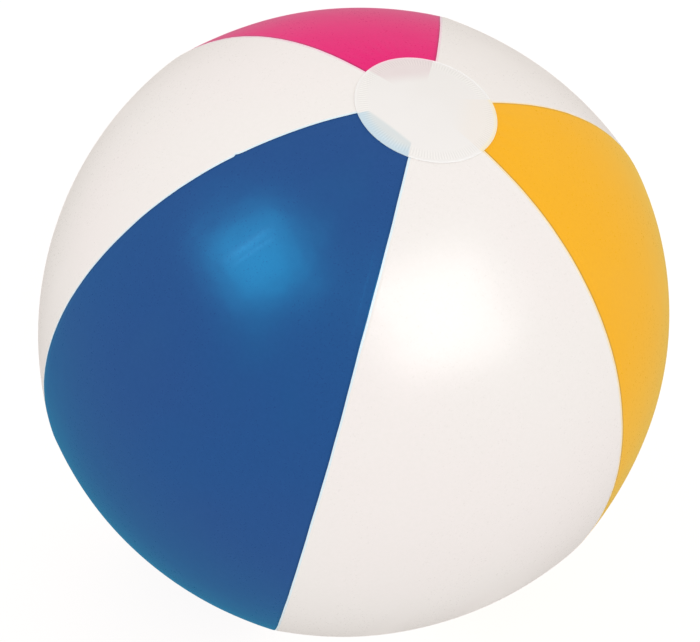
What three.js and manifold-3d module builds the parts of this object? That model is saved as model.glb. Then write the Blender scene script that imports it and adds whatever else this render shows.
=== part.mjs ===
// Inflatable beach ball: six welded vinyl gores, two end caps and a push-in air valve.
// Millimetres. +Z runs up through the end caps, the origin is the middle of the ball, and the
// valve faces +Y.

import * as THREE from "three";
import { mergeVertices } from "three/addons/utils/BufferGeometryUtils.js";
import Module from "manifold-3d";

const wasm = await Module();
wasm.setup();

// Inflated shape
const BALL_RADIUS = 180; // nominal radius of the inflated ball
const GORES = 6;
const GORE_ANGLE = (2 * Math.PI) / GORES;
const POLE_FLATTENING = 0.0153; // second-order flattening of the poles, as a share of the radius
const SHOULDER_SQUARING = 0.0143; // fourth-order term, which squares the shoulders near the caps
const GORE_FLATTENING = 0.1285; // how far the round section leans towards a hexagon, 0 to 1
const HEXAGON_MEAN = 3 / Math.PI; // makes the mean radius of that section equal to the nominal one

// The gores are laid by hand, so each seam strays a little, in degrees, from its even place. The
// first seam is the one between the blue and the front white gore, at -60 degrees.
const SEAM_STRAY = [-0.3, 1.9, 0.6, -2.4, 0.9, -0.7];
const FIRST_SEAM = -Math.PI / 3;

// Vinyl film and its lap welds
const FILM = 0.3; // thickness of a gore
const GAP = 0.3; // space left between two faces that touch on the real ball
const LAP = 5; // width of the welded overlap, where a white edge runs under a coloured one
const STEP_START = 0.4; // the white film begins to rise this far from the coloured edge
const STEP_END = 1.6; // and is level with the coloured film here
const GORE_END = 26; // from the pole's axis to the straight cut at each end of a gore
const GORE_ROWS = 22;
const GORE_COLUMNS = 8; // between the two welds

// End caps
const CAP_RADIUS = 38.9;
const CAP_GAP = 0.4;
const CAP_THICKNESS = 0.5;
const CAP_BEAD_WIDTH = 1.2;
const CAP_BEAD_HEIGHT = 0.3;
const CAP_SEGMENTS = 36;
const TOP_CAP_SHIFT = 3.75; // the upper cap is laid this far off centre
const TOP_CAP_SHIFT_AZIMUTH = Math.PI / 6; // towards the yellow gore
const REST_PATCH_RADIUS = 12; // the lower cap is pressed flat here by the ball's own weight

// Air valve: depths are measured inwards from the ball's skin, along the valve's axis
const VALVE_SEGMENTS = 28;
const WELL_RADIUS = 11.5; // hole in the white gore
const FLANGE_DEPTH = 1.3;
const FLANGE_THICKNESS = 0.8;
const FLANGE_INNER_RADIUS = 11.1;
const FLANGE_OUTER_RADIUS = 20;
const STEM_RADIUS = 5.3;
const BORE_RADIUS = 3.75;
const STEM_TOP = 1.5;
const STEM_BOTTOM = 17;
const COLLAR_RADIUS = 5.8;
const COLLAR_HALF_LENGTH = 0.7;
const STEM_TRAVEL = 15; // from pushed in to pulled out
const WEB_THICKNESS = 0.5;
const WEB_OUTER_RADIUS = FLANGE_INNER_RADIUS - GAP;
const WEB_OUTER_DEPTH = FLANGE_DEPTH + FLANGE_THICKNESS / 2;
const WEB_INNER_RADIUS = COLLAR_RADIUS + GAP;
const WEB_INNER_DEPTH = WEB_OUTER_DEPTH + STEM_TRAVEL / 2;
const PLUG_HEAD_RADIUS = 5;
const PLUG_HEAD_TOP = 0.2;
const PLUG_HEAD_THICKNESS = STEM_TOP - GAP - PLUG_HEAD_TOP;
const PLUG_LENGTH = 5; // of the tapered part inside the stem
const PLUG_CLEARANCE = 0.15;
const HINGE_OFFSET = 6.9; // from the valve's axis to the bend line of the tether
const HINGE_DEPTH = 2.6;
const TETHER_WIDTH = 3.2;
const TETHER_THICKNESS = 0.7;
const FLAP_RADIUS = 4.9;
const FLAP_THICKNESS = 0.6;

// Azimuth of a seam. The numbers run on past the last seam, a full turn further round.
function seamAzimuth(number) {
  const stray = THREE.MathUtils.degToRad(SEAM_STRAY[THREE.MathUtils.euclideanModulo(number, GORES)]);
  return FIRST_SEAM + number * GORE_ANGLE + stray;
}

// Angle from the middle line of the gore that holds an azimuth: 0 there, and half of an even
// gore's angle at its seams.
function offMiddle(azimuth) {
  let number = Math.floor((azimuth - FIRST_SEAM) / GORE_ANGLE);
  if (azimuth < seamAzimuth(number)) number -= 1;
  if (azimuth >= seamAzimuth(number + 1)) number += 1;
  const start = seamAzimuth(number);
  const share = (azimuth - start) / (seamAzimuth(number + 1) - start);
  return GORE_ANGLE * Math.abs(share - 0.5);
}

// Distance from the middle of the ball to its skin. The polar angle is 0 at +Z.
function skinRadius(polar, azimuth) {
  const c2 = Math.cos(polar) ** 2;
  const second = 1.5 * c2 - 0.5;
  const fourth = (35 * c2 * c2 - 30 * c2 + 3) / 8;
  const hexagon = Math.cos(GORE_ANGLE / 2) / Math.cos(offMiddle(azimuth)) / HEXAGON_MEAN;
  return (
    BALL_RADIUS *
    (1 - POLE_FLATTENING * second - SHOULDER_SQUARING * fourth) *
    (1 + GORE_FLATTENING * Math.sin(polar) ** 2 * (hexagon - 1))
  );
}

function skinPoint(polar, azimuth, depth) {
  const radius = skinRadius(polar, azimuth) - depth;
  return new THREE.Vector3(
    radius * Math.sin(polar) * Math.cos(azimuth),
    radius * Math.sin(polar) * Math.sin(azimuth),
    radius * Math.cos(polar),
  );
}

// Closed sheet between two grids of points with the same rows and columns. A wrapped sheet joins
// its last column to its first, and so has walls only along its first and last rows.
function sheetGeometry(outer, inner, wrapped = false) {
  const rows = outer.length;
  const columns = outer[0].length;
  const positions = [...outer.flat(), ...inner.flat()].flatMap((p) => [p.x, p.y, p.z]);
  const index = [];
  const at = (row, column, side) => side * rows * columns + row * columns + (column % columns);
  const quad = (a, b, c, d) => index.push(a, b, c, a, c, d);
  const steps = wrapped ? columns : columns - 1;
  for (let i = 0; i < rows - 1; i++) {
    for (let j = 0; j < steps; j++) {
      quad(at(i, j, 0), at(i + 1, j, 0), at(i + 1, j + 1, 0), at(i, j + 1, 0));
      quad(at(i, j + 1, 1), at(i + 1, j + 1, 1), at(i + 1, j, 1), at(i, j, 1));
    }
    if (!wrapped) {
      quad(at(i, 0, 1), at(i + 1, 0, 1), at(i + 1, 0, 0), at(i, 0, 0));
      quad(at(i, steps, 0), at(i + 1, steps, 0), at(i + 1, steps, 1), at(i, steps, 1));
    }
  }
  for (let j = 0; j < steps; j++) {
    quad(at(0, j, 0), at(0, j + 1, 0), at(0, j + 1, 1), at(0, j, 1));
    quad(at(rows - 1, j, 1), at(rows - 1, j + 1, 1), at(rows - 1, j + 1, 0), at(rows - 1, j, 0));
  }
  const geometry = new THREE.BufferGeometry();
  geometry.setAttribute("position", new THREE.Float32BufferAttribute(positions, 3));
  geometry.setIndex(index);
  return geometry;
}

// Cross-weld stations of a gore: distance in millimetres inwards from the seam, and the depth of
// the film's outer face there. A white edge dives under the coloured gore beside it.
function edgeStations(isUnder) {
  if (!isUnder) {
    return [
      [0, 0],
      [LAP, 0],
    ];
  }
  return [
    [-LAP, FILM + GAP],
    [0, FILM + GAP],
    [STEP_START, FILM + GAP],
    [STEP_END, 0],
  ];
}

// Polar angle of a row where it crosses an azimuth; the first and last rows are the straight cuts.
function rowPolar(row, azimuth) {
  const nearPole = skinRadius(GORE_END / BALL_RADIUS, azimuth);
  const end = Math.asin(GORE_END / Math.cos(offMiddle(azimuth)) / nearPole);
  return end + ((Math.PI - 2 * end) * row) / GORE_ROWS;
}

// One gore, from the seam of its own number to the next one round.
function goreGeometry(number, isUnder) {
  const firstSeam = seamAzimuth(number);
  const span = seamAzimuth(number + 1) - firstSeam;
  const outer = [];
  const inner = [];
  for (let row = 0; row <= GORE_ROWS; row++) {
    const polar = rowPolar(row, firstSeam);
    const ringRadius = skinRadius(polar, firstSeam) * Math.sin(polar);
    const edge = edgeStations(isUnder).map(([along, depth]) => [along / ringRadius, depth]);
    const innermost = edge.at(-1)[0];
    const middle = [];
    for (let k = 1; k < GORE_COLUMNS; k++) {
      middle.push([innermost + ((span - 2 * innermost) * k) / GORE_COLUMNS, 0]);
    }
    const mirrored = edge.map(([angle, depth]) => [span - angle, depth]).reverse();
    const stations = [...edge, ...middle, ...mirrored];
    const place = (extra) =>
      stations.map(([angle, depth]) => {
        const azimuth = firstSeam + angle;
        return skinPoint(rowPolar(row, azimuth), azimuth, depth + extra);
      });
    outer.push(place(0));
    inner.push(place(FILM));
  }
  return sheetGeometry(outer, inner);
}

function toSolid(geometry) {
  const bare = geometry.clone();
  bare.deleteAttribute("normal");
  bare.deleteAttribute("uv");
  const merged = mergeVertices(bare, 1e-4);
  return new wasm.Manifold(
    new wasm.Mesh({
      numProp: 3,
      vertProperties: merged.attributes.position.array,
      triVerts: new Uint32Array(merged.index.array),
    }),
  );
}

function toGeometry(solid) {
  const mesh = solid.getMesh();
  const geometry = new THREE.BufferGeometry();
  geometry.setAttribute("position", new THREE.BufferAttribute(mesh.vertProperties, 3));
  geometry.setIndex(new THREE.BufferAttribute(mesh.triVerts, 1));
  return geometry;
}

// The point of the skin that the valve's axis passes through, which all its depths start from.
const VALVE_SKIN = skinRadius(Math.PI / 2, Math.PI / 2);

// The gore that holds the valve, with the hole that the stem moves through.
function valveGoreGeometry(number) {
  const punch = new THREE.CylinderGeometry(WELL_RADIUS, WELL_RADIUS, 20, VALVE_SEGMENTS);
  punch.translate(0, VALVE_SKIN, 0);
  return toGeometry(toSolid(goreGeometry(number, true)).subtract(toSolid(punch)));
}

// Height of the bare skin over the middle of the ball, at a distance from the Z axis.
function domeHeight(distance) {
  const polar = Math.asin(distance / (BALL_RADIUS * (1 - POLE_FLATTENING - SHOULDER_SQUARING)));
  return skinRadius(polar, GORE_ANGLE / 2) * Math.cos(polar);
}

// Domed disc welded over the ends of the gores, with its axis along Z.
function capGeometry(flatRadius) {
  const beadStart = CAP_RADIUS - CAP_BEAD_WIDTH;
  const distances = [0, REST_PATCH_RADIUS, 20, 28, beadStart - 0.3, beadStart, CAP_RADIUS];
  const height = (distance) => domeHeight(Math.max(distance, flatRadius)) + CAP_GAP;
  const under = distances.map((d) => new THREE.Vector2(d, height(d)));
  const over = distances.map((d) => {
    const bead = d >= beadStart ? CAP_BEAD_HEIGHT : 0;
    return new THREE.Vector2(d, height(d) + CAP_THICKNESS + bead);
  });
  return new THREE.LatheGeometry([...under, ...over.reverse()], CAP_SEGMENTS).rotateX(Math.PI / 2);
}

// Lathe turned about the valve's axis, from pairs of radius and depth below the skin. The pairs
// run from the inner end outwards, so that the faces point out of the solid.
function valveLathe(pairs) {
  const points = pairs.map(([radius, depth]) => new THREE.Vector2(radius, VALVE_SKIN - depth));
  return new THREE.LatheGeometry(points, VALVE_SEGMENTS);
}

// Weld flange, which follows the curve of the gore that it is welded behind.
function flangeGeometry() {
  const ring = (radius, depth) =>
    Array.from({ length: VALVE_SEGMENTS }, (_, k) => {
      const angle = (2 * Math.PI * k) / VALVE_SEGMENTS;
      const x = radius * Math.sin(angle);
      const z = radius * Math.cos(angle);
      const polar = Math.PI / 2 - Math.asin(z / VALVE_SKIN);
      const azimuth = Math.PI / 2 - Math.asin(x / VALVE_SKIN);
      const skin = skinRadius(polar, azimuth) - depth;
      return new THREE.Vector3(x, Math.sqrt(skin * skin - x * x - z * z), z);
    });
  const radii = [0, 1, 2].map(
    (k) => FLANGE_INNER_RADIUS + ((FLANGE_OUTER_RADIUS - FLANGE_INNER_RADIUS) * k) / 2,
  );
  return sheetGeometry(
    radii.map((radius) => ring(radius, FLANGE_DEPTH)),
    radii.map((radius) => ring(radius, FLANGE_DEPTH + FLANGE_THICKNESS)),
    true,
  );
}

// Flexible wall between the flange and the stem, a cone that turns inside out as the stem moves.
function diaphragmGeometry() {
  const half = WEB_THICKNESS / 2;
  return valveLathe([
    [WEB_INNER_RADIUS, WEB_INNER_DEPTH + half],
    [WEB_OUTER_RADIUS, WEB_OUTER_DEPTH + half],
    [WEB_OUTER_RADIUS, WEB_OUTER_DEPTH - half],
    [WEB_INNER_RADIUS, WEB_INNER_DEPTH - half],
    [WEB_INNER_RADIUS, WEB_INNER_DEPTH + half],
  ]);
}

// Air tube, with the collar that the flexible wall is moulded to.
function stemGeometry() {
  const collarLow = WEB_INNER_DEPTH + COLLAR_HALF_LENGTH;
  const collarHigh = WEB_INNER_DEPTH - COLLAR_HALF_LENGTH;
  return valveLathe([
    [BORE_RADIUS, STEM_BOTTOM],
    [STEM_RADIUS, STEM_BOTTOM],
    [STEM_RADIUS, collarLow],
    [COLLAR_RADIUS, collarLow],
    [COLLAR_RADIUS, collarHigh],
    [STEM_RADIUS, collarHigh],
    [STEM_RADIUS, STEM_TOP],
    [BORE_RADIUS, STEM_TOP],
    [BORE_RADIUS, STEM_BOTTOM],
  ]);
}

// Stopper. Its taper is the widest that still swings clear of the bore about the tether's bend.
function plugGeometry() {
  const taper = [0, 0.25, 0.5, 0.75, 1].map((share) => {
    const depth = STEM_TOP + PLUG_LENGTH * share;
    const below = Math.max(0, depth - HINGE_DEPTH);
    const reach = Math.sqrt((HINGE_OFFSET + BORE_RADIUS) ** 2 - below ** 2);
    return [reach - HINGE_OFFSET - PLUG_CLEARANCE, depth];
  });
  const underside = PLUG_HEAD_TOP + PLUG_HEAD_THICKNESS;
  return valveLathe([
    [0, STEM_TOP + PLUG_LENGTH],
    ...taper.reverse(),
    [taper.at(-1)[0], underside],
    [PLUG_HEAD_RADIUS, underside],
    [PLUG_HEAD_RADIUS, PLUG_HEAD_TOP],
    [0, PLUG_HEAD_TOP],
  ]);
}

// Strap that loops from the side of the stem up and over to the edge of the plug's head.
function tetherGeometry() {
  const half = TETHER_THICKNESS / 2;
  const headMiddle = PLUG_HEAD_TOP + PLUG_HEAD_THICKNESS / 2;
  const stemDepth = 2 * HINGE_DEPTH - headMiddle;
  const bend = (stemDepth - headMiddle) / 2;
  const route = [[PLUG_HEAD_RADIUS + GAP, headMiddle]];
  for (let k = 0; k <= 6; k++) {
    const angle = (Math.PI * k) / 6;
    route.push([
      HINGE_OFFSET - 0.6 + bend * 0.75 * Math.sin(angle),
      HINGE_DEPTH - bend * Math.cos(angle),
    ]);
  }
  route.push([STEM_RADIUS + GAP, stemDepth]);
  const side = (sign) =>
    route.map(([offset, depth], k) => {
      const before = route[Math.max(0, k - 1)];
      const after = route[Math.min(route.length - 1, k + 1)];
      const way = new THREE.Vector2(after[0] - before[0], after[1] - before[1]).normalize();
      return new THREE.Vector2(offset + sign * half * way.y, depth - sign * half * way.x);
    });
  const outline = new THREE.Shape([...side(1), ...side(-1).reverse()]);
  const strap = new THREE.ExtrudeGeometry(outline, { depth: TETHER_WIDTH, bevelEnabled: false });
  // the outline's first axis becomes Z and its second, the depth, runs towards -Y
  const turn = new THREE.Matrix4().makeBasis(
    new THREE.Vector3(0, 0, 1),
    new THREE.Vector3(0, -1, 0),
    new THREE.Vector3(1, 0, 0),
  );
  return strap.applyMatrix4(turn).translate(-TETHER_WIDTH / 2, VALVE_SKIN, 0);
}

// Disc that closes the stem's inner end and hangs from its upper edge.
function flapGeometry() {
  return valveLathe([
    [0, STEM_BOTTOM + GAP + FLAP_THICKNESS],
    [FLAP_RADIUS, STEM_BOTTOM + GAP + FLAP_THICKNESS],
    [FLAP_RADIUS, STEM_BOTTOM + GAP],
    [0, STEM_BOTTOM + GAP],
  ]);
}

function vinyl(color, roughness) {
  return new THREE.MeshStandardMaterial({ color, roughness, metalness: 0 });
}

const ball = new THREE.Group();

function add(name, geometry, material) {
  const mesh = new THREE.Mesh(geometry, material);
  mesh.name = name;
  ball.add(mesh);
  return mesh;
}

// Gores in the order of their seams. The white ones run under the coloured ones.
const GORE_NAMES = ["white_front", "yellow", "white_back", "pink", "white_left", "blue"];
const GORE_COLORS = [0xf3efec, 0xf8b42d, 0xf3efec, 0xe8377d, 0xf3efec, 0x2b5a9c];
GORE_NAMES.forEach((name, number) => {
  const isUnder = name.startsWith("white");
  const hasValve = name === "white_back";
  const geometry = hasValve ? valveGoreGeometry(number) : goreGeometry(number, isUnder);
  add(`panel_${name}`, geometry, vinyl(GORE_COLORS[number], 0.35));
});

const milky = 0xeeede9;
const topCap = add("end_cap_top", capGeometry(0), vinyl(milky, 0.45));
const tiltAxis = new THREE.Vector3(0, 0, 1)
  .cross(new THREE.Vector3(Math.cos(TOP_CAP_SHIFT_AZIMUTH), Math.sin(TOP_CAP_SHIFT_AZIMUTH), 0));
topCap.quaternion.setFromAxisAngle(tiltAxis, TOP_CAP_SHIFT / domeHeight(0));
add("end_cap_bottom", capGeometry(REST_PATCH_RADIUS), vinyl(milky, 0.45)).rotation.x = Math.PI;

const moulded = 0xe4e6e4;
add("valve_flange", flangeGeometry(), vinyl(moulded, 0.4));
add("valve_diaphragm", diaphragmGeometry(), vinyl(moulded, 0.4));
add("valve_stem", stemGeometry(), vinyl(moulded, 0.35));
add("valve_plug", plugGeometry(), vinyl(moulded, 0.35));
add("plug_tether", tetherGeometry(), vinyl(moulded, 0.4));
add("check_flap", flapGeometry(), vinyl(moulded, 0.4));

export default ball;
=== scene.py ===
import math

import bpy
import numpy as np
from mathutils import Matrix, Vector


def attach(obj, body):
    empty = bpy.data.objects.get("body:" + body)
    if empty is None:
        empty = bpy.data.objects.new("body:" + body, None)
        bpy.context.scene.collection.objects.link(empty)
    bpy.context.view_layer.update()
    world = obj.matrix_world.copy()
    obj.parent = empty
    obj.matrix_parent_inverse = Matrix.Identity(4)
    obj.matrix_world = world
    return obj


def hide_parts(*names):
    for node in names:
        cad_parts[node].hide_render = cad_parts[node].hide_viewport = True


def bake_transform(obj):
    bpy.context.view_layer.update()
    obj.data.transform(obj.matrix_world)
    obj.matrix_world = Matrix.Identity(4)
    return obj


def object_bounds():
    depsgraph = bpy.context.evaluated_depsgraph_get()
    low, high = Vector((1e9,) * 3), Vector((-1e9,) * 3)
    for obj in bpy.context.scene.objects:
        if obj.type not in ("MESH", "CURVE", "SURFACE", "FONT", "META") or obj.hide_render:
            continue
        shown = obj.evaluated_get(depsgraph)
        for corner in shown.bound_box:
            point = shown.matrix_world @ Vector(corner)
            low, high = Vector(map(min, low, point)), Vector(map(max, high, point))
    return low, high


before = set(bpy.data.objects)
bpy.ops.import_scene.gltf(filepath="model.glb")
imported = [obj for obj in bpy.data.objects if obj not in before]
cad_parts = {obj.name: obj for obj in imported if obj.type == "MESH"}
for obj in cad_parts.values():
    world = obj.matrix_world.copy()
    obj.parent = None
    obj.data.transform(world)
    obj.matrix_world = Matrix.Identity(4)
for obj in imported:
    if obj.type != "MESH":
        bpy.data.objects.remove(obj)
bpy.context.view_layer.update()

MM = 0.001

# ------------------------------------------------------------------ sizes of the frame, in mm
RADIUS = 180.0
GORES = 6
GORE_ANGLE = 2 * math.pi / GORES
GORE_NAMES = ["white_front", "yellow", "white_back", "pink", "white_left", "blue"]
POLE_FLATTENING = 0.0153  # share of the radius that the ball loses at its ends
SHOULDER_SQUARING = 0.0143  # and that its shoulders gain
GORE_FLATTENING = 0.1285  # how far its equator goes from round towards a hexagon
HEXAGON_MEAN = 3 / math.pi
SEAM_STRAY = np.radians([-0.3, 1.9, 0.6, -2.4, 0.9, -0.7])  # of each seam from its even place
FIRST_SEAM = -math.pi / 3
FILM = 0.3
LAP = 5.0  # how far a white gore runs on under its coloured neighbour
GORE_END = 26.0  # from the ball's axis to the straight end of each gore
DARK_EDGE_WIDTH = 0.5  # width of the darker line along each coloured edge

CAP_RADIUS = 38.9
CAP_REST = 0.05  # underside above the skin
CAP_THICK = 0.5
CAP_RIM = 0.36  # radius of the rounded rim
CAP_RIBS = 144
CAP_RIB_HEIGHT = 0.14
CAP_BAND = (0.815, 0.86, 0.925, 0.95)  # shares of the radius where the ribs rise and fade again
CAP_SAG = 0.12
TOP_CAP_SHIFT = 3.75
TOP_CAP_AZIMUTH = math.pi / 6
REST_PATCH_RADIUS = 12.0

# Depths of the valve's pieces are below the skin, along its axis.
WELL_RADIUS = 11.5
FLANGE_RADIUS = 20.0
FLANGE_BORE = 10.95
WEB_OUTER_DEPTH = 1.7
WEB_INNER_DEPTH = 9.2
STEM_TOP = 1.5
STEM_BOTTOM = 17.0
STEM_RADIUS = 5.3
COLLAR_RADIUS = 5.75
BORE_RADIUS = 3.75
HINGE_OFFSET = 6.9
HINGE_DEPTH = 2.6
HEAD_RADIUS = 5.0
TETHER_WIDTH = 3.2
TETHER_HEAD_DEPTH = 0.7
TETHER_FOOT_DEPTH = 4.5


def is_white(number):
    return GORE_NAMES[number % GORES].startswith("white")


def seam_azimuth(number):
    """Azimuth of the seam at which a gore starts, by the gore's number."""
    return FIRST_SEAM + number * GORE_ANGLE + SEAM_STRAY[number % GORES]


def off_middle(azimuth):
    """Angle from the middle line of the gore that holds each azimuth."""
    seams = np.array([seam_azimuth(n) for n in range(-GORES, 2 * GORES + 1)])
    index = np.clip(np.searchsorted(seams, azimuth, side="right") - 1, 0, len(seams) - 2)
    share = (azimuth - seams[index]) / (seams[index + 1] - seams[index])
    return GORE_ANGLE * np.abs(share - 0.5)


def skin_radius(polar, azimuth):
    """Radius of the smooth skin, which the CAD has too, at a polar angle and azimuth."""
    c2 = np.cos(polar) ** 2
    second = 1.5 * c2 - 0.5
    fourth = (35 * c2 * c2 - 30 * c2 + 3) / 8
    hexagon = math.cos(GORE_ANGLE / 2) / np.cos(off_middle(azimuth)) / HEXAGON_MEAN
    return (
        RADIUS
        * (1 - POLE_FLATTENING * second - SHOULDER_SQUARING * fourth)
        * (1 + GORE_FLATTENING * np.sin(polar) ** 2 * (hexagon - 1))
    )


def at_radius(radius, polar, azimuth):
    """Points from their radius, polar angle and azimuth."""
    return np.stack(
        [
            radius * np.sin(polar) * np.cos(azimuth),
            radius * np.sin(polar) * np.sin(azimuth),
            radius * np.cos(polar),
        ],
        -1,
    )


def dome_height(distance):
    """Height of the smooth skin at a distance from the ball's axis."""
    polar = np.arcsin(distance / (RADIUS * (1 - POLE_FLATTENING - SHOULDER_SQUARING)))
    return skin_radius(polar, np.full_like(polar, GORE_ANGLE / 2)) * np.cos(polar)


VALVE_SKIN = float(skin_radius(np.array(math.pi / 2), np.array(math.pi / 2)))


def unit_vector(polar, azimuth):
    """Direction from its polar angle and azimuth, in degrees."""
    polar, azimuth = math.radians(polar), math.radians(azimuth)
    return at_radius(1.0, polar, azimuth)


# ------------------------------------------------------------------ relief of the inflated film
PUCKER = 0.10  # height of the ripples that the welds pull into the film
PUCKER_REACH = 9.0
PUCKER_LENGTHS = (9.5, 14.0, 23.0, 37.0)
PUCKER_SEED = 11
UNDULATION = 0.12
UNDULATION_BAND = (41, 62)  # distances from the axis over which the waves above set in
CAP_WRINKLE = 0.07
CAP_WRINKLE_BAND = (40.5, 46, 66)
CREASE_HEIGHT = 0.11
CREASES = [  # ends of the fold marks on the blue gore, as polar angle and azimuth, and their width
    ((45.2, -97.6), (36.2, -94.2), 2.2),
    ((45.4, -95.5), (36.8, -91.6), 1.1),
]
RING_RADII = (13.2, 15.2, 17.2, 19.2)  # embossed weld rings round the valve
RING_HEIGHT = 0.16
RING_WIDTH = 0.55
# The ball isn't quite full: it is a little smaller than its frame, and out of round.
SLACK = 0.72
OVAL = 1.1
OVAL_BAND = (41, 110)  # distances from the axis over which that sets in
OVAL_FROM_VALVE = (24, 90)  # and distances from the valve
SHORT_AXIS = unit_vector(61.2, 171.6)
LONG_AXIS = unit_vector(60.6, 63.5)
NICK_SEAM = 5  # a small bite out of the edge of the blue gore
NICK_POLAR = math.radians(33.5)
NICK_DEPTH = 0.9
NICK_LENGTH = 1.1
NICK_SHARES = (0.148, 0.166)  # where it lies, as shares of the seam from its upper end
WOBBLE = 0.12
WOBBLE_LENGTHS = (26.0, 47.0, 90.0)
WOBBLE_SEED = 31
WANDER_POLARS = (10, 25, 35, 45, 65, 85, 120, 165)  # degrees down from the top, for the table
WANDER_BLEND = 5.0  # degrees either side over which it is averaged, so that no edge has a kink
WANDER = (  # sideways drift of each seam there, in mm
    (0.2, 0.45, 0.55, 0.45, 1.2, 1.0, 1.3, 0),
    (2.1, 2.3, 1.7, 0.8, 0.5, 1.3, 1.0, 0),
    (-2.7, -0.45, 0.15, 1.0, 0.5, 0, 0, 0),
    (-2.0, 0.65, 2.6, 3.0, 2.2, 1.0, 0, 0),
    (1.9, -0.8, -2.8, -3.6, -1.5, 0, 0, 0),
    (-0.6, -1.0, -1.6, -1.5, -1.4, -3.9, -4.5, 0),
)


def smooth(value, low, high):
    """0 below low and 1 above high, with a smooth step between them."""
    t = np.clip((value - low) / (high - low), 0, 1)
    return t * t * (3 - 2 * t)


def ripple(arc, seed, lengths):
    """Irregular wave along a line, between about -1 and 1, the same for a seed every time."""
    rng = np.random.default_rng(seed)
    total = np.zeros_like(arc)
    for length in lengths:
        total += rng.uniform(0.5, 1) * np.sin(2 * math.pi * arc / length + rng.uniform(0, 6.283))
    return total / len(lengths)


def crease(points, first, last, width):
    """1 along the middle of a fold mark, fading to 0 beside it and at its ends."""
    a, b = (
        at_radius(skin_radius(np.array(p), np.array(z)), np.array(p), np.array(z))
        for p, z in (np.radians(first), np.radians(last))
    )
    along = b - a
    t = np.clip(((points - a) @ along) / (along @ along), 0, 1)
    away = np.linalg.norm(points - a - t[..., None] * along, axis=-1)
    return np.exp(-((away / width) ** 2)) * np.sqrt(np.sin(math.pi * np.clip(t, 0.02, 0.98)))


def relief(polar, azimuth):
    """How far the real film stands above the smooth skin, in mm."""
    radius = skin_radius(polar, azimuth)
    points = at_radius(radius, polar, azimuth)
    ring = radius * np.sin(polar)
    arc = polar * RADIUS
    clear = smooth(ring, *UNDULATION_BAND)
    total = UNDULATION * clear * (
        np.sin(points[..., 0] / 17 + 1.3) * np.sin(points[..., 1] / 21 + 0.4)
        + 0.6 * np.sin(points[..., 2] / 13 + points[..., 0] / 29)
    )
    for number in range(GORES):
        turn = np.angle(np.exp(1j * (azimuth - seam_azimuth(number))))
        away = np.abs(turn) * ring
        wave = ripple(arc, PUCKER_SEED + number, PUCKER_LENGTHS)
        total += PUCKER * clear * wave * np.exp(-away / PUCKER_REACH)
    low, middle, high = CAP_WRINKLE_BAND
    near_cap = smooth(ring, low, middle) * (1 - smooth(ring, middle, high))
    total += CAP_WRINKLE * near_cap * np.sin(41 * azimuth + 2 * np.sin(5 * azimuth))
    for mark in CREASES:
        total += CREASE_HEIGHT * crease(points, *mark)
    from_valve = np.hypot(points[..., 0], points[..., 2])
    behind = points[..., 1] > 0
    unit = points / radius[..., None]
    oval = SLACK + OVAL * ((unit @ SHORT_AXIS) ** 2 - (unit @ LONG_AXIS) ** 2)
    near_valve = np.where(behind, smooth(from_valve, *OVAL_FROM_VALVE), 1)
    total -= oval * smooth(ring, *OVAL_BAND) * near_valve
    for ring_radius in RING_RADII:
        bead = np.exp(-(((from_valve - ring_radius) / RING_WIDTH) ** 2))
        total += RING_HEIGHT * np.where(behind, bead, 0)
    return total


def wobble(arc, number):
    """How far a hand-fed coloured edge wanders sideways from its seam, in mm, towards +azimuth."""
    number %= GORES
    total = WOBBLE * ripple(arc, WOBBLE_SEED + number, WOBBLE_LENGTHS)
    drifts = [
        np.interp(np.degrees(arc / RADIUS) + off, WANDER_POLARS, WANDER[number])
        for off in np.linspace(-WANDER_BLEND, WANDER_BLEND, 9)
    ]
    total = total + sum(drifts) / len(drifts)
    if number == NICK_SEAM:
        total = total - NICK_DEPTH * np.exp(-(((arc - NICK_POLAR * RADIUS) / NICK_LENGTH) ** 2))
    return total


# ------------------------------------------------------------------ mesh code
SHARP_ANGLE = math.radians(38)  # edges with a steeper turn aren't shaded smooth
ON_AXIS = 1e-6


def new_object(name, points, faces):
    """Smooth shaded object from points in mm."""
    mesh = bpy.data.meshes.new(name)
    mesh.from_pydata((np.asarray(points) * MM).tolist(), [], faces)
    mesh.validate()
    mesh.shade_smooth()
    mesh.set_sharp_from_angle(angle=SHARP_ANGLE)
    piece = bpy.data.objects.new(name, mesh)
    bpy.context.scene.collection.objects.link(piece)
    return piece


def quads(a, b, c, d):
    """Faces from four arrays of their corners."""
    return np.stack([a, b, c, d], -1).reshape(-1, 4).tolist()


def sheet_between(name, outer, inner):
    """Closed sheet between two grids of points with the same rows and columns."""
    rows, columns = outer.shape[:2]
    near = np.arange(rows * columns).reshape(rows, columns)
    far = near + rows * columns
    faces = quads(near[:-1, :-1], near[1:, :-1], near[1:, 1:], near[:-1, 1:])
    faces += quads(far[:-1, 1:], far[1:, 1:], far[1:, :-1], far[:-1, :-1])
    faces += quads(far[:-1, 0], far[1:, 0], near[1:, 0], near[:-1, 0])
    faces += quads(near[:-1, -1], near[1:, -1], far[1:, -1], far[:-1, -1])
    faces += quads(near[0, :-1], near[0, 1:], far[0, 1:], far[0, :-1])
    faces += quads(near[-1, 1:], near[-1, :-1], far[-1, :-1], far[-1, 1:])
    return new_object(name, np.concatenate([outer.reshape(-1, 3), inner.reshape(-1, 3)]), faces)


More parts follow.
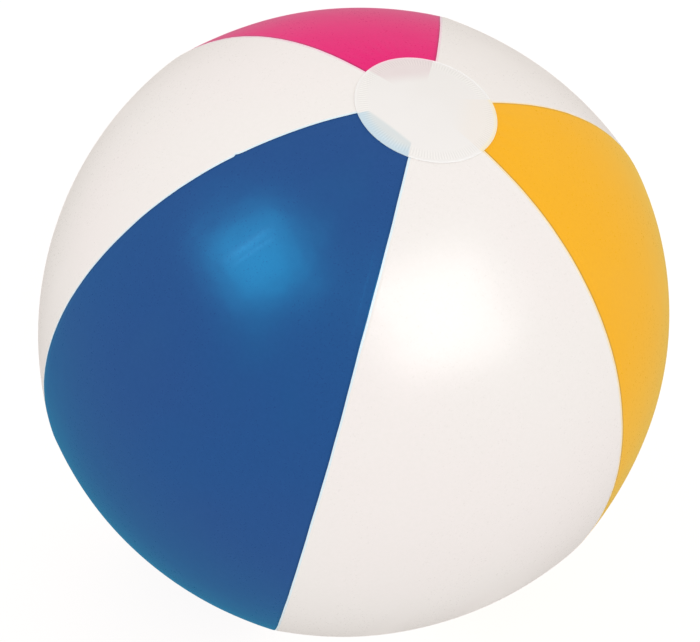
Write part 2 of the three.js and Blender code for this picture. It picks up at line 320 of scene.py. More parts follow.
def turned(name, profile, segments, place):
    """Solid of revolution from a closed profile that runs outwards at its first end. place turns
    arrays of radius, angle and height into points; a profile point on the axis is one vertex."""
    angles = np.arange(segments) * 2 * math.pi / segments
    points, rings = [], []
    count = 0
    for index, (radius, height) in enumerate(profile):
        around = angles if radius > ON_AXIS else angles[:1]
        radii, heights = np.full_like(around, radius), np.full_like(around, height)
        points.append(place(radii, around, heights, index))
        ring = count + np.arange(len(around))
        rings.append(np.append(ring, ring[0]) if len(around) > 1 else ring)
        count += len(around)
    faces = []
    pairs = list(zip(rings[:-1], rings[1:]))
    if profile[0][0] > ON_AXIS:
        pairs.append((rings[-1], rings[0]))
    for low, high in pairs:
        if len(low) == 1:
            faces += np.stack([np.full(segments, low[0]), high[1:], high[:-1]], -1).tolist()
        elif len(high) == 1:
            faces += np.stack([low[:-1], low[1:], np.full(segments, high[0])], -1).tolist()
        else:
            faces += quads(low[:-1], low[1:], high[1:], high[:-1])
    return new_object(name, np.concatenate(points), faces)


def closed_tube(name, rings, inside_out=False):
    """Closed tube through a grid of points in which each row is one ring."""
    rows, columns = rings.shape[:2]
    grid = np.arange(rows * columns).reshape(rows, columns)
    grid = np.column_stack([grid, grid[:, 0]])
    faces = quads(grid[:-1, :-1], grid[:-1, 1:], grid[1:, 1:], grid[1:, :-1])
    faces += [grid[0, -2::-1].tolist(), grid[-1, :-1].tolist()]
    if inside_out:
        faces = [face[::-1] for face in faces]
    return new_object(name, rings.reshape(-1, 3), faces)


def arc_points(centre, radius, start, end, count):
    """Points of an arc in a profile, for its rounded edges; angles in degrees."""
    turns = np.radians(np.linspace(start, end, count))
    return [(centre[0] + radius * math.cos(t), centre[1] + radius * math.sin(t)) for t in turns]


# ------------------------------------------------------------------ materials
class Graph:
    """Node graph of one material, with a Principled shader at its end."""

    def __init__(self, name, **shader):
        self.material = bpy.data.materials.new(name)
        self.material.use_nodes = True
        self.tree = self.material.node_tree
        self.shader = next(n for n in self.tree.nodes if n.type == "BSDF_PRINCIPLED")
        for key, value in shader.items():
            self.shader.inputs[key.replace("_", " ")].default_value = value
        self.where = self.add("ShaderNodeTexCoord").outputs["Object"]

    def add(self, kind, *links, **settings):
        """New node with its settings, and its first inputs linked or set in their order."""
        node = self.tree.nodes.new(kind)
        for key, value in settings.items():
            setattr(node, key, value)
        for index, source in enumerate(links):
            if isinstance(source, bpy.types.NodeSocket):
                self.tree.links.new(source, node.inputs[index])
            else:
                node.inputs[index].default_value = source
        return node

    def math(self, operation, *values):
        return self.add("ShaderNodeMath", *values, operation=operation).outputs[0]

    def vector(self, operation, *values):
        node = self.add("ShaderNodeVectorMath", *values, operation=operation)
        return node.outputs["Value" if operation in ("DOT_PRODUCT", "LENGTH") else "Vector"]

    def ramp(self, value, low, high, to_low=0.0, to_high=1.0):
        """Smooth step of a value from to_low, at low, to to_high, at high."""
        node = self.add("ShaderNodeMapRange", value, low, high, to_low, to_high)
        node.interpolation_type = "SMOOTHSTEP"
        return node.outputs["Result"]

    def noise(self, scale, detail=2.0, stretch=None):
        """Noise over the object, drawn out along the axes where stretch is below 1."""
        where = self.vector("MULTIPLY", self.where, stretch) if stretch else self.where
        node = self.add("ShaderNodeTexNoise", where)
        node.inputs["Scale"].default_value = scale
        node.inputs["Detail"].default_value = detail
        return node.outputs["Fac"]

    def mix(self, share, first, second, blend="MIX"):
        node = self.add("ShaderNodeMix", data_type="RGBA", blend_type=blend)
        for name, value in (("Factor", share), ("A", first), ("B", second)):
            socket = next(s for s in node.inputs if s.name == name and s.enabled)
            if isinstance(value, bpy.types.NodeSocket):
                self.tree.links.new(value, socket)
            elif name == "Factor":
                socket.default_value = value
            else:
                socket.default_value = (*value, 1.0)
        return next(s for s in node.outputs if s.enabled)

    def bump(self, height, distance, below=None):
        """Bump of a distance in metres, on top of another bump's normal."""
        node = self.add("ShaderNodeBump")
        node.inputs["Strength"].default_value = 1.0
        node.inputs["Distance"].default_value = distance
        self.tree.links.new(height, node.inputs["Height"])
        if below is not None:
            self.tree.links.new(below, node.inputs["Normal"])
        return node.outputs["Normal"]

    def finish(self, color, roughness, normal):
        """The material, with these three linked to its shader."""
        self.tree.links.new(color, self.shader.inputs["Base Color"])
        self.tree.links.new(roughness, self.shader.inputs["Roughness"])
        self.tree.links.new(normal, self.shader.inputs["Normal"])
        return self.material


def over_valve(g, color):
    """The flange behind the film shows faintly through it, with its embossed weld rings."""
    away = g.vector("LENGTH", g.vector("MULTIPLY", g.where, (1.0, 0.0, 1.0)))
    height = g.add("ShaderNodeSeparateXYZ", g.where).outputs[1]
    behind = g.ramp(height, 0.1, 0.12)
    edge = g.ramp(away, (FLANGE_RADIUS + 0.3) * MM, (FLANGE_RADIUS - 0.3) * MM)
    disc = g.math("MULTIPLY", behind, edge)
    color = g.mix(g.math("MULTIPLY", disc, 0.55), color, (0.82, 0.82, 0.805))
    for ring_radius in RING_RADII:
        ring = g.math("ABSOLUTE", g.math("SUBTRACT", away, ring_radius * MM))
        line = g.math("MULTIPLY", behind, g.ramp(ring, RING_WIDTH * 1.2 * MM, 0.2 * MM))
        color = g.mix(g.math("MULTIPLY", line, 0.6), color, (0.93, 0.935, 0.93))
    return color


def film_material(
    name, base, tint, spread, tone, gloss, glow, tint_of_gloss=(1, 1, 1), valve=False
):
    """Calendered vinyl film: cloudy colour, fine grain, orange peel, and rubbed patches."""
    g = Graph(
        name,
        Specular_IOR_Level=gloss,
        Specular_Tint=(*tint_of_gloss, 1),
        Sheen_Weight=glow[0],
        Sheen_Roughness=0.45,
        Sheen_Tint=(*glow[1], 1),
    )
    clouds = g.ramp(g.noise(9, 3), 0.36, 0.66)
    color = g.mix(clouds, base, tint)
    grain = g.ramp(g.noise(520, 2), 0.25, 0.8, 0.0, spread)
    color = g.mix(grain, color, tone)
    marked = g.add("ShaderNodeAttribute", attribute_name="stress").outputs["Fac"]
    streaky = g.ramp(g.noise(700, 3, (1.0, 1.0, 0.3)), 0.3, 0.7, 0.5, 1.0)
    pale = tuple(0.6 * c + 0.4 * p for c, p in zip(base, (0.14, 0.42, 0.9)))
    color = g.mix(g.math("MULTIPLY", g.math("MULTIPLY", marked, 0.4), streaky), color, pale)
    pressed = g.add("ShaderNodeAttribute", attribute_name="pressed").outputs["Fac"]
    color = g.mix(g.math("MULTIPLY", pressed, 0.85), color, (0.6, 0.62, 0.66), "MULTIPLY")
    if valve:
        color = over_valve(g, color)
    rubbed = g.ramp(g.noise(26, 5, (1.0, 1.0, 0.35)), 0.5, 0.72, 0.0, 0.07)
    peel = g.noise(900, 2)
    roughness = g.math("ADD", g.math("ADD", rubbed, 0.26), g.math("MULTIPLY", peel, 0.04))
    normal = g.bump(g.noise(42, 2), 0.00035)
    normal = g.bump(peel, 0.000012, normal)
    scuffs = g.noise(180, 3, (1.0, 0.12, 0.5))
    normal = g.bump(scuffs, 0.00002, normal)
    return g.finish(color, roughness, normal)


def seam_normal(azimuth, towards):
    """Unit vector square to the seam plane at an azimuth, on one side of it."""
    return (-math.sin(azimuth) * towards, math.cos(azimuth) * towards, 0.0)


def cap_material(name, shift):
    """Milky vinyl disc. The gores show faintly through it, from their straight ends outwards. Its
    rim carries a painted highlight, and so do the fine radial ribs of the weld ring, with painted
    shade on the film between them."""
    g = Graph(name, Specular_IOR_Level=0.5)
    color = g.mix(g.ramp(g.noise(14, 3), 0.35, 0.65), (0.885, 0.862, 0.84), (0.905, 0.886, 0.87))
    centre = tuple(c * MM for c in shift)
    flat = g.vector("MULTIPLY", g.vector("SUBTRACT", g.where, centre), (1.0, 1.0, 0.0))
    split = g.add("ShaderNodeSeparateXYZ", flat)
    angle = g.math("ARCTAN2", split.outputs[1], split.outputs[0])
    away = g.math("DIVIDE", g.vector("LENGTH", flat), CAP_RADIUS * MM)
    uneven = g.ramp(g.noise(16, 2), 0.35, 0.65, 0.3, 0.85)
    # painted highlight: a pale line painted round the cap's rim, uneven along it
    rim = g.ramp(away, 0.965, 0.985)
    color = g.mix(g.math("MULTIPLY", rim, uneven), color, (0.97, 0.97, 0.965))
    # seam number of each coloured gore: its colour through the cap's rim and further in, where
    # one turns into the other as shares of the radius, where the gore ends, and how softly
    tints = {
        5: ((0.58, 0.735, 0.835), (0.715, 0.77, 0.785), 0.80, 0.95, 26.0, 1.5),
        3: ((0.94, 0.68, 0.77), (0.83, 0.735, 0.735), 0.96, 0.985, 21.5, 7.0),
        1: ((0.94, 0.86, 0.66), (0.905, 0.86, 0.815), 0.93, 0.975, 25.0, 9.0),
    }
    for number, (rim_tint, tint, rim_start, rim_end, end_distance, blur) in tints.items():
        start, end = seam_azimuth(number), seam_azimuth(number + 1)
        middle = (start + end) / 2
        ends = g.vector("DOT_PRODUCT", g.where, (math.cos(middle), math.sin(middle), 0.0))
        first = g.vector("DOT_PRODUCT", g.where, seam_normal(start, 1))
        second = g.vector("DOT_PRODUCT", g.where, seam_normal(end, -1))
        mask = g.ramp(ends, (end_distance - blur) * MM, (end_distance + blur / 2) * MM)
        for edge in (first, second):
            mask = g.math("MULTIPLY", mask, g.ramp(edge, -0.4 * MM, 0.4 * MM))
        cloudy = g.ramp(g.noise(70, 3), 0.2, 0.8, 0.82, 1.0)
        shown = g.mix(g.ramp(away, rim_start, rim_end), tint, rim_tint)
        color = g.mix(g.math("MULTIPLY", mask, cloudy), color, shown)
    # painted highlight on the ribs, and painted shade on the film between them
    ribs = g.ramp(g.math("SINE", g.math("MULTIPLY", angle, float(CAP_RIBS))), -0.6, 0.9)
    band = g.math("MULTIPLY", g.ramp(away, 0.80, 0.86), g.ramp(away, 0.96, 0.93))
    patchy = g.ramp(g.noise(55, 2), 0.3, 0.7, 0.35, 1.0)
    ribbed = g.math("MULTIPLY", g.math("MULTIPLY", band, ribs), patchy)
    between = g.math("MULTIPLY", band, g.math("SUBTRACT", 1.0, ribs))
    color = g.mix(g.math("MULTIPLY", between, 0.5), color, (0.91, 0.915, 0.905), "MULTIPLY")
    color = g.mix(ribbed, color, (0.05, 0.05, 0.045), "ADD")
    grain = g.noise(700, 2)
    roughness = g.math("ADD", g.math("MULTIPLY", grain, 0.08), 0.36)
    normal = g.bump(g.noise(60, 3), 0.0002)
    normal = g.bump(grain, 0.00001, normal)
    return g.finish(color, roughness, normal)


def moulded_material(name, base, rough):
    """Injection-moulded soft vinyl: cloudy, faint flow lines across the part, matt grain."""
    g = Graph(name, Specular_IOR_Level=0.5, Subsurface_Weight=0.15, Subsurface_Scale=0.002)
    clouds = g.ramp(g.noise(160, 3), 0.3, 0.7)
    color = g.mix(clouds, base, tuple(c * 0.93 for c in base))
    flow = g.ramp(g.noise(420, 3, (1.0, 0.15, 1.0)), 0.45, 0.7, 0.0, 0.35)
    color = g.mix(flow, color, tuple(min(1.0, c * 1.06) for c in base))
    grain = g.noise(2600, 2)
    roughness = g.math("ADD", g.math("MULTIPLY", grain, 0.12), rough)
    normal = g.bump(g.noise(420, 2), 0.00003)
    normal = g.bump(grain, 0.000008, normal)
    return g.finish(color, roughness, normal)


# ------------------------------------------------------------------ gores
# Finer parts of a grid, as shares of the way down the gore and of the way across it.
CREASE_DOWN = (0.165, 0.235)
CREASE_ACROSS = (0.28, 0.52)
VALVE_DOWN = (0.458, 0.542)
VALVE_ACROSS = (0.36, 0.64)
FAR = 99.0  # distance from an edge that stands for the gore's middle
INSIDE = 1e-6  # radians by which a point is kept off the seam plane
BEAD_MIDDLE = 0.62
BEAD_HALF_WIDTH = 0.66
BEAD_HEIGHT = 0.2


def gore_stations(number, polar_share, middle_shares):
    """Polar angles, azimuths, depths and edge distances of a gore's grid, from seam to seam."""
    if is_white(number):
        edge = np.array([-LAP, -3, -1.2, -0.3, 0.1, 0.4, 0.7, 1.0, 1.4, 1.8, 2.3, 3, 4.5, 6.5, 9])
        depth = (FILM + 0.03) * (1 - smooth(edge, 0.2, 2.3))
    else:
        edge = np.array([0, 0.08, 0.3, 0.8, 1.6, 2.6, 3.6, 4.4, 4.8, 5.2, 5.6, 6.2, 7.5, 9])
        depth = 0.05 * smooth(edge, 0.1, 1.0) * (1 - smooth(edge, 4.4, 5.6))
        depth += 0.06 * (1 - smooth(edge, 0, 0.3))
    start, end = seam_azimuth(number), seam_azimuth(number + 1)
    near = skin_radius(np.array(GORE_END / RADIUS), np.array(start))

    def row_polar(azimuth, share):
        first = np.arcsin(GORE_END / np.cos(off_middle(azimuth)) / near)
        return first + (math.pi - 2 * first) * share

    share = polar_share[:, None]
    polar = row_polar(np.array(start + INSIDE), share)
    ring = skin_radius(polar, start + INSIDE) * np.sin(polar)
    arc = polar * RADIUS
    fade = np.exp(-np.maximum(edge, 0) / 12)
    low = start + (edge + wobble(arc, number) * fade) / ring
    high = end - (edge - wobble(arc, number + 1) * fade) / ring
    middle = low[:, -1:] + (high[:, -1:] - low[:, -1:]) * middle_shares
    azimuth = np.concatenate([low, middle, high[:, ::-1]], 1)
    depths = np.concatenate([depth, np.zeros(len(middle_shares)), depth[::-1]])
    inside = np.clip(azimuth, start + INSIDE, end - INSIDE)
    from_edge = np.concatenate([edge, np.full(len(middle_shares), FAR), edge[::-1]])
    return row_polar(inside, share), azimuth, np.broadcast_to(depths, azimuth.shape), from_edge


def gore(name, number):
    """Closed sheet of one gore, with the attributes that its material reads."""
    polar_share = np.linspace(0, 1, 201)
    middle = np.linspace(0, 1, 52)[1:-1]
    if name == "blue":
        polar_share = np.append(polar_share, np.linspace(*CREASE_DOWN, 44))
        middle = np.append(middle, np.linspace(*CREASE_ACROSS, 30))
    if name in ("blue", "white_left"):
        polar_share = np.append(polar_share, np.linspace(*NICK_SHARES, 22))
    if name == "white_back":
        polar_share = np.append(polar_share, np.linspace(*VALVE_DOWN, 84))
        middle = np.append(middle, np.linspace(*VALVE_ACROSS, 84))
    polar, azimuth, depth, from_edge = gore_stations(
        number, np.unique(polar_share), np.unique(middle)
    )
    skin = skin_radius(polar, azimuth) + relief(polar, azimuth) - depth
    piece = sheet_between(
        f"gore_{name}",
        at_radius(skin, polar, azimuth),
        at_radius(skin - FILM, polar, azimuth),
    )
    points = at_radius(skin_radius(polar, azimuth), polar, azimuth)
    shades = {"stress": sum(crease(points, *mark) for mark in CREASES)}
    if not is_white(number):
        line = 1 - smooth(from_edge, DARK_EDGE_WIDTH, 2 * DARK_EDGE_WIDTH)
        shades["pressed"] = np.broadcast_to(line, polar.shape)
    for attribute, values in shades.items():
        marks = piece.data.attributes.new(attribute, "FLOAT", "POINT")
        marks.data.foreach_set("value", np.tile(values.ravel(), 2).astype(np.float32))
    return piece


def cut_round_hole(piece, radius, centre, reach=12):
    """Cuts a round hole along Y through a piece, as far as reach on both sides of centre."""
    cutter = turned(
        "cutter",
        [(0, -reach), (radius, -reach), (radius, reach), (0, reach)],
        144,
        lambda r, a, h, _: np.stack([r * np.sin(a), centre + h, r * np.cos(a)], -1),
    )
    cut = piece.modifiers.new("hole", "BOOLEAN")
    cut.operation = "DIFFERENCE"
    cut.solver = "EXACT"
    cut.object = cutter
    depsgraph = bpy.context.evaluated_depsgraph_get()
    made = bpy.data.meshes.new_from_object(piece.evaluated_get(depsgraph))
    piece.modifiers.clear()
    piece.data = made
    bpy.data.objects.remove(cutter)


def weld_bead(number):
    """Thin line of film squeezed out of a lap weld, along the edge of the coloured gore."""
    side = 1 if is_white(number) else -1  # the white gore lies on this side of the seam
    share = np.linspace(0.004, 0.996, 421)
    if number == NICK_SEAM:
        share = np.unique(np.append(share, np.linspace(*NICK_SHARES, 40)))
    start = seam_azimuth(number)
    near = skin_radius(np.array(GORE_END / RADIUS), np.array(start))
    first = math.asin(GORE_END / math.cos(GORE_ANGLE / 2) / near)
    polar = (first + (math.pi - 2 * first) * share)[:, None]
    ring = skin_radius(polar, start) * np.sin(polar)
    section = np.radians(np.linspace(0, 360, 11)[:-1])
    across = BEAD_MIDDLE + BEAD_HALF_WIDTH * np.cos(section)
    up = -FILM + 0.1 + BEAD_HEIGHT * np.sin(section)
    azimuth = start + (wobble(polar * RADIUS, number) + side * across) / ring
    polar = np.broadcast_to(polar, azimuth.shape)
    height = skin_radius(polar, azimuth) + relief(polar, azimuth) + up
    points = at_radius(height, polar, azimuth)
    return closed_tube(f"weld_bead_{number + 1}", points, side < 0)


# ------------------------------------------------------------------ end caps
def cap_profile(flat):
    """Underside from the middle to the rim, and the top back to the middle, as radius, height;
    and the number of points before the top. The cap is flat up to a radius, flat."""

    def height(distance):
        return float(dome_height(np.array(max(distance, flat))))

    inner = CAP_RADIUS - CAP_RIM
    under = [(float(d), height(d) + CAP_REST) for d in np.linspace(0, inner, 13)]
    rim_centre = (inner, height(CAP_RADIUS) + CAP_REST + 0.42)
    rim = arc_points(rim_centre, CAP_RIM, -60, 150, 10)
    rim = [(min(r, CAP_RADIUS), h + 0.05) for r, h in rim]
    steps = np.concatenate(
        [
            np.linspace(CAP_RADIUS - 1.1, CAP_RADIUS * 0.955, 3),
            np.linspace(CAP_RADIUS * 0.945, CAP_RADIUS * 0.82, 12),
            np.linspace(CAP_RADIUS * 0.79, 0, 14),
        ]
    )
    top = [(float(d), height(d) + CAP_REST + CAP_THICK) for d in steps]
    return under + rim + top, len(under) + len(rim)


def cap(name, flat, turn):
    """End cap with its ribbed weld ring, turned into place by a matrix."""
    profile, first_top = cap_profile(flat)
    rise, full, fade, end = CAP_BAND

    def place(radius, angle, height, index):
        if index >= first_top:
            share = radius / CAP_RADIUS
            band = smooth(share, rise, full) * (1 - smooth(share, fade, end))
            wave = np.sin(CAP_RIBS * angle)
            uneven = 0.7 + 0.3 * np.sin(3 * angle + 1) * np.sin(7 * angle)
            height = height + CAP_RIB_HEIGHT * band * np.maximum(wave, -0.2) * uneven
            sag = CAP_SAG * np.sin(2 * angle + 0.6) * np.sin(math.pi * share) ** 2
            height = height + np.where(radius > flat, sag, 0) * (share < 0.8)
        return np.stack([radius * np.cos(angle), radius * np.sin(angle), height], -1)

    piece = turned(name, profile, CAP_RIBS * 5, place)
    piece.data.transform(turn)
    return piece


# ------------------------------------------------------------------ valve
def about_valve(radius, angle, depth, _index):
    """Point at a radius from the valve's axis, an angle from +Z and a depth below the skin."""
    return np.stack([radius * np.sin(angle), VALVE_SKIN - depth, radius * np.cos(angle)], -1)


def rounded(corners, radius, steps=5):
    """Closed profile with each corner rounded, as radius, depth pairs. On-axis ends stay sharp."""
    made = []
    count = len(corners)
    for k, corner in enumerate(corners):
        here = np.array(corner, float)
        if corner[0] < ON_AXIS:
            made.append(tuple(here))
            continue
        before = np.array(corners[k - 1], float) - here
        after = np.array(corners[(k + 1) % count], float) - here
        reach = min(radius, 0.45 * np.linalg.norm(before), 0.45 * np.linalg.norm(after))
        a = here + before / np.linalg.norm(before) * reach
        b = here + after / np.linalg.norm(after) * reach
        for t in np.linspace(0, 1, steps):
            made.append(tuple((1 - t) ** 2 * a + 2 * t * (1 - t) * here + t * t * b))
    return made


def flange():
    """Weld flange with the raised lip that fills the edge of the hole."""
    corners = [(FLANGE_BORE, 2.1), (FLANGE_RADIUS, 3.23), (FLANGE_RADIUS, 2.43), (15.5, 1.86)]
    corners += [(11.42, 1.42), (11.4, 0.56), (11.28, 0.42), (11.16, 0.42), (11.06, 0.6)]
    corners += [(11.03, 1.25), (FLANGE_BORE, 1.4)]
    return turned("valve_flange_ring", rounded(corners, 0.25), 144, about_valve)


def diaphragm():
    """Corrugated flexible cone between the flange and the stem's collar."""
    shares = np.linspace(0, 1, 33)
    outer_radius, inner_radius = 10.93, 5.78
    wave = 0.16 * np.sin(shares * math.pi * 7) * np.sin(shares * math.pi)
    radius = outer_radius + (inner_radius - outer_radius) * shares
    depth = WEB_OUTER_DEPTH + (WEB_INNER_DEPTH - WEB_OUTER_DEPTH) * shares + wave
    thick = 0.24 - 0.06 * np.sin(shares * math.pi)
    low = list(zip(radius[::-1], (depth + thick)[::-1]))
    high = list(zip(radius, depth - thick))
    return turned("valve_bellows", [tuple(map(float, p)) for p in low + high], 144, about_valve)


def stem():
    """Air tube with a collar that the diaphragm joins and a stiffening ring below it."""
    low, high = WEB_INNER_DEPTH + 0.75, WEB_INNER_DEPTH - 0.75
    corners = [
        (BORE_RADIUS, STEM_BOTTOM),
        (5.0, STEM_BOTTOM),
        (STEM_RADIUS, STEM_BOTTOM - 0.6),
        (STEM_RADIUS, 13.4),
        (5.5, 13.2),
        (5.5, 12.4),
        (STEM_RADIUS, 12.2),
        (STEM_RADIUS, low + 0.1),
        (COLLAR_RADIUS, low),
        (COLLAR_RADIUS, high),
        (STEM_RADIUS, high - 0.1),
        (STEM_RADIUS, 6.0),
        (STEM_RADIUS, 2.2),
        (5.12, STEM_TOP),
        (4.0, STEM_TOP),
        (BORE_RADIUS, STEM_TOP + 0.35),
    ]
    return turned("valve_tube", rounded(corners, 0.16), 128, about_valve)


def plug():
    """Stopper with a domed, ringed head and a tapered, ribbed plug."""
    corners = [(0.0, 6.5), (2.2, 6.5), (2.6, 6.1)]
    for depth in (5.2, 4.0, 2.8, 1.7):  # each rib is as wide as lets it swing out of the bore
        below_hinge = max(0, depth - HINGE_DEPTH)
        radius = math.sqrt((HINGE_OFFSET + BORE_RADIUS) ** 2 - below_hinge**2) - HINGE_OFFSET - 0.2
        corners += [(radius - 0.12, depth + 0.34), (radius, depth + 0.12), (radius, depth - 0.12)]
        corners += [(radius - 0.12, depth - 0.3)]
    corners += [(3.45, 1.22), (4.75, 1.2), (HEAD_RADIUS, 1.0), (HEAD_RADIUS, 0.62)]
    corners += [(4.7, 0.32), (4.1, 0.24), (3.9, 0.4), (3.2, 0.42), (3.0, 0.22), (1.6, 0.1)]
    corners += [(0.0, 0.06)]
    return turned("stopper", rounded(corners, 0.1, 4), 128, about_valve)


def tether():
    """Living-hinge strap from the side of the stem over to the edge of the stopper's head."""
    head, foot = TETHER_HEAD_DEPTH, TETHER_FOOT_DEPTH
    bend = (foot - head) / 2
    line = [(4.75, head), (5.3, head)]
    for k in range(17):
        turn = math.pi * k / 16
        out = HINGE_OFFSET - 0.6 + bend * 0.75 * math.sin(turn)
        line.append((out, HINGE_DEPTH - bend * math.cos(turn)))
    line = np.array(line + [(5.7, foot), (5.15, foot)])
    way = np.gradient(line, axis=0)
    way /= np.linalg.norm(way, axis=1)[:, None]
    square = np.stack([way[:, 1], -way[:, 0]], 1)
    share = np.linspace(0, 1, len(line))
    half_thick = 0.33 - 0.12 * np.exp(-(((share - 0.5) / 0.16) ** 2))
    half_wide = TETHER_WIDTH / 2 * (0.82 + 0.18 * np.abs(2 * share - 1) ** 2)
    corner = np.radians(np.linspace(0, 360, 25)[:-1])
    wide = np.sign(np.cos(corner)) * np.abs(np.cos(corner)) ** 0.35
    thick = np.sign(np.sin(corner)) * np.abs(np.sin(corner)) ** 0.6
    rings = []
    for k in range(len(line)):
        offset = line[k] + square[k] * half_thick[k] * thick[:, None]
        rings.append(np.stack([half_wide[k] * wide, VALVE_SKIN - offset[:, 1], offset[:, 0]], -1))
    return closed_tube("stopper_strap", np.array(rings))


def check_flap():
    """Thin disc with a stiffened rim that closes the inner end of the stem."""
    corners = [(0.0, 17.9), (2.6, 17.88), (3.0, 17.7), (4.2, 17.72), (4.5, 17.9), (4.9, 17.85)]
    corners += [(4.9, 17.4), (4.6, 17.32), (3.2, 17.34), (2.9, 17.3), (0.0, 17.3)]
    return turned("inner_flap", rounded(corners, 0.12, 4), 96, about_valve)


# ------------------------------------------------------------------ building the ball
WARM_GLOW = (0.6, (1.0, 0.94, 0.88))
FILMS = {  # colour, a second one in clouds over it, a grain of a third, gloss, and glow
    "blue": film_material(
        "film_blue",
        (0.030, 0.080, 0.288),
        (0.026, 0.084, 0.297),
        0.25,
        (0.02, 0.06, 0.23),
        0.9,
        (0.46, (0.0, 0.6, 1.0)),
        (0.0, 0.62, 1.0),
    ),
    "yellow": film_material(
        "film_yellow",
        (0.98, 0.475, 0.006),
        (0.99, 0.495, 0.012),
        0.3,
        (0.92, 0.41, 0.008),
        0.3,
        (0.7, (1.0, 0.78, 0.2)),
    ),
    "pink": film_material(
        "film_pink",
        (0.84, 0.003, 0.18),
        (0.86, 0.008, 0.196),
        0.3,
        (0.72, 0.008, 0.15),
        0.2,
        (0.42, (1.0, 0.48, 0.66)),
    ),
    "white": film_material(
        "film_white",
        (0.925, 0.893, 0.872),
        (0.93, 0.882, 0.868),
        0.3,
        (0.87, 0.84, 0.81),
        0.5,
        WARM_GLOW,
    ),
    # the gore at the back is a darker copy of the white film, as painted shade, and shows the
    # valve's flange through it
    "white_back": film_material(
        "film_white_back_shaded",
        (0.905, 0.867, 0.84),
        (0.91, 0.86, 0.838),
        0.3,
        (0.85, 0.81, 0.78),
        0.5,
        WARM_GLOW,
        valve=True,
    ),
}
BEAD_COLORS = {"blue": (0.77, 0.93, 1.0), "yellow": (0.99, 0.83, 0.56), "pink": (0.98, 0.70, 0.80)}
BEADS = {
    color: film_material(
        f"weld_line_{color}",
        base,
        tuple(0.97 * c for c in base),
        0.2,
        tuple(0.92 * c for c in base),
        0.5,
        (0.6, (1.0, 1.0, 1.0)),
    )
    for color, base in BEAD_COLORS.items()
}


def place_piece(piece, material, slot, body, *nodes):
    """Material, replaced nodes and body of a piece; the slot argument is not used. A blended piece
    has no body here.
    """
    piece.data.materials.clear()
    piece.data.materials.append(material)
    if nodes:
        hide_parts(*nodes)
    if body:
        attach(piece, body)


for number, name in enumerate(GORE_NAMES):
    piece = gore(name, number)
    if name == "white_back":
        cut_round_hole(piece, WELL_RADIUS, VALVE_SKIN)
    color = "white" if is_white(number) else name
    film = FILMS.get(name, FILMS[color])
    place_piece(piece, film, f"vinyl_{color}", "ball", f"panel_{name}")
    beside = name if name in BEADS else GORE_NAMES[number - 1]  # the coloured gore at this seam
    place_piece(weld_bead(number), BEADS[beside], "vinyl_white", "ball")

cap_way = (math.cos(TOP_CAP_AZIMUTH), math.sin(TOP_CAP_AZIMUTH), 0.0)
tilt_axis = Vector((0, 0, 1)).cross(Vector(cap_way))
tilt = Matrix.Rotation(TOP_CAP_SHIFT / float(dome_height(np.array(0.0))), 4, tilt_axis)
shift = tuple(TOP_CAP_SHIFT * c for c in cap_way)
place_piece(
    cap("cap_top", 0, tilt),
    cap_material("cap_film_top", shift),
    "vinyl_milky",
    "ball",
    "end_cap_top",
)
place_piece(
    cap("cap_bottom", REST_PATCH_RADIUS, Matrix.Rotation(math.pi, 4, "X")),
    cap_material("cap_film_bottom", (0.0, 0.0, 0.0)),
    "vinyl_milky",
    "ball",
    "end_cap_bottom",
)

moulded = moulded_material("moulded_vinyl", (0.79, 0.80, 0.79), 0.34)
clearer = moulded_material("moulded_vinyl_thin", (0.84, 0.85, 0.85), 0.28)
place_piece(flange(), moulded, "vinyl_moulded", "ball", "valve_flange")
place_piece(stem(), moulded, "vinyl_moulded", "stem", "valve_stem")
place_piece(plug(), moulded, "vinyl_moulded", "plug", "valve_plug")
place_piece(check_flap(), clearer, "vinyl_moulded", "flap", "check_flap")

web = diaphragm()
place_piece(web, clearer, "vinyl_moulded", None, "valve_diaphragm")
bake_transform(web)
strap = tether()
place_piece(strap, clearer, "vinyl_moulded", None, "plug_tether")
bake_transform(strap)

# ------------------------------------------------------------------ camera
ELEVATION, AZIMUTH, ROLL = (math.radians(x) for x in (46.548, -62.937, 17.006))
DISTANCE = 1.668  # metres
SENSOR = 36
LENS = 150.44
SHIFT = (-0.0057, 0.0006)
back = Vector(
    (
        math.cos(ELEVATION) * math.cos(AZIMUTH),
        math.cos(ELEVATION) * math.sin(AZIMUTH),
        math.sin(ELEVATION),
    )
)
level = Vector((-math.sin(AZIMUTH), math.cos(AZIMUTH), 0))
upright = back.cross(level)
right = math.cos(ROLL) * level + math.sin(ROLL) * upright
up = math.cos(ROLL) * upright - math.sin(ROLL) * level

camera = bpy.data.objects.new("camera", bpy.data.cameras.new("camera"))
bpy.context.scene.collection.objects.link(camera)
axes = Matrix((right, up, back)).transposed().to_4x4()
camera.matrix_world = Matrix.Translation(back * DISTANCE) @ axes
camera.data.sensor_width = SENSOR
camera.data.lens = LENS
camera.data.shift_x, camera.data.shift_y = SHIFT
bpy.context.scene.camera = camera

# ------------------------------------------------------------------ floor and light
FLOOR_GAP = 0.3  # mm below the ball
FLOOR_GLOW = 0.92
SWEEP_START = 3.5  # metres from the ball
SWEEP_RISE = 0.35
ROOM_COLOR = (1.0, 0.982, 0.966)
BELOW = (-1.0, -0.5, 0.74, 1.0)  # the room is darker from below: heights, and the light there
BEHIND = (0.0, 1.0, 1.0, 1.3)  # and its back wall is lit more: how far behind, and the light there
AMBIENT = 1.005  # of the pale studio round the ball, as it lights matt surfaces
AMBIENT_GLOSS = 0.07  # and as it is mirrored in glossy ones
scene = bpy.context.scene
scene.view_settings.view_transform = "Standard"


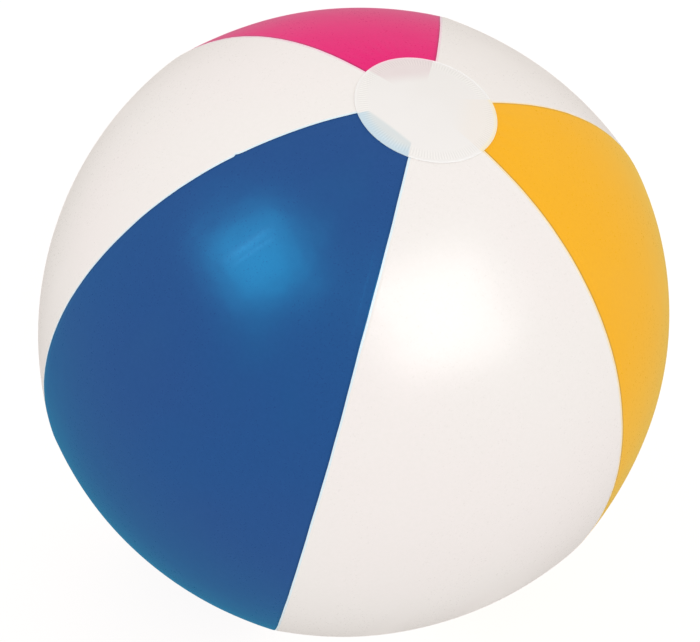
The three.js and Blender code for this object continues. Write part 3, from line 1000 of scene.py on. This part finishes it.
def backdrop():
    """Pale floor that rises in a smooth sweep far from the ball."""
    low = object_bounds()[0].z - FLOOR_GAP * MM
    radii = np.concatenate([[0], np.geomspace(0.05, 6, 30)])
    heights = low + np.where(radii > SWEEP_START, (radii - SWEEP_START) ** 2 * SWEEP_RISE, 0)
    profile = list(zip((radii / MM).tolist(), (heights / MM).tolist()))
    angles = np.linspace(0, 2 * math.pi, 73)[:-1]
    points = [(0, 0, profile[0][1])]
    for radius, height in profile[1:]:
        points += [(radius * math.cos(a), radius * math.sin(a), height) for a in angles]
    count = len(angles)
    faces = [(0, 1 + k, 1 + (k + 1) % count) for k in range(count)]
    for ring in range(len(profile) - 2):
        base = 1 + ring * count
        for k in range(count):
            after = (k + 1) % count
            faces.append((base + k, base + count + k, base + count + after, base + after))
    return new_object("floor", points, faces)


floor = backdrop()
g = Graph("floor_paper", Specular_IOR_Level=0.1)
floor_color = g.mix(g.noise(3, 2), (0.115, 0.114, 0.113), (0.12, 0.119, 0.118))
g.shader.inputs["Emission Color"].default_value = (1.0, 0.985, 0.975, 1)
g.shader.inputs["Emission Strength"].default_value = FLOOR_GLOW
floor_rough = g.ramp(g.noise(8), 0, 1, 0.8, 0.95)
floor.data.materials.append(g.finish(floor_color, floor_rough, g.bump(g.noise(300), 0.00002)))
floor.visible_diffuse = False
floor.visible_glossy = False


def studio():
    """Pale room round the ball, which is much dimmer in reflections than as light."""
    world = bpy.data.worlds.new("studio")
    world.use_nodes = True
    tree = world.node_tree

    def node(kind, links, **settings):
        made = tree.nodes.new(kind)
        for key, value in settings.items():
            setattr(made, key, value)
        for index, source in enumerate(links):
            if isinstance(source, bpy.types.NodeSocket):
                tree.links.new(source, made.inputs[index])
            else:
                made.inputs[index].default_value = source
        return made.outputs

    glossy = node("ShaderNodeLightPath", [])["Is Glossy Ray"]
    way = node("ShaderNodeTexCoord", [])["Generated"]
    height = node("ShaderNodeSeparateXYZ", [way])[2]
    facing = node("ShaderNodeVectorMath", [way, -back], operation="DOT_PRODUCT")["Value"]
    light = node("ShaderNodeMapRange", [glossy, 0.0, 1.0, AMBIENT, AMBIENT_GLOSS])[0]
    for value, levels in ((height, BELOW), (facing, BEHIND)):
        factor = node("ShaderNodeMapRange", [value, *levels])[0]
        light = node("ShaderNodeMath", [light, factor], operation="MULTIPLY")[0]
    sky = tree.nodes["Background"]
    sky.inputs["Color"].default_value = (*ROOM_COLOR, 1)
    tree.links.new(light, sky.inputs["Strength"])
    return world


scene.world = studio()


def softbox(name, across, rise, toward, distance, size, power, color=(1, 1, 1), diffuse=True):
    """Square area light placed by its direction in the camera's axes, aimed at the ball."""
    way = (right * across + up * rise + back * toward).normalized()
    light = bpy.data.objects.new(name, bpy.data.lights.new(name, "AREA"))
    light.data.shape = "SQUARE"
    light.data.size = size
    light.data.energy = power
    light.data.color = color
    light.location = way * distance
    light.rotation_mode = "QUATERNION"
    light.rotation_quaternion = way.to_track_quat("Z", "Y")
    light.visible_camera = False
    light.visible_diffuse = diffuse
    scene.collection.objects.link(light)
    return light


softbox("softbox_left", -0.506, 0.39, 0.79, 1.5, 0.72, 7.4, diffuse=False)
softbox("softbox_right", 0.51, 0.08, 0.856, 1.5, 1.0, 11.0, diffuse=False)
key = softbox("key", 0.1, 0.25, 0.96, 2.2, 1.6, 2.5, (1.0, 0.99, 0.98))
key.visible_glossy = False
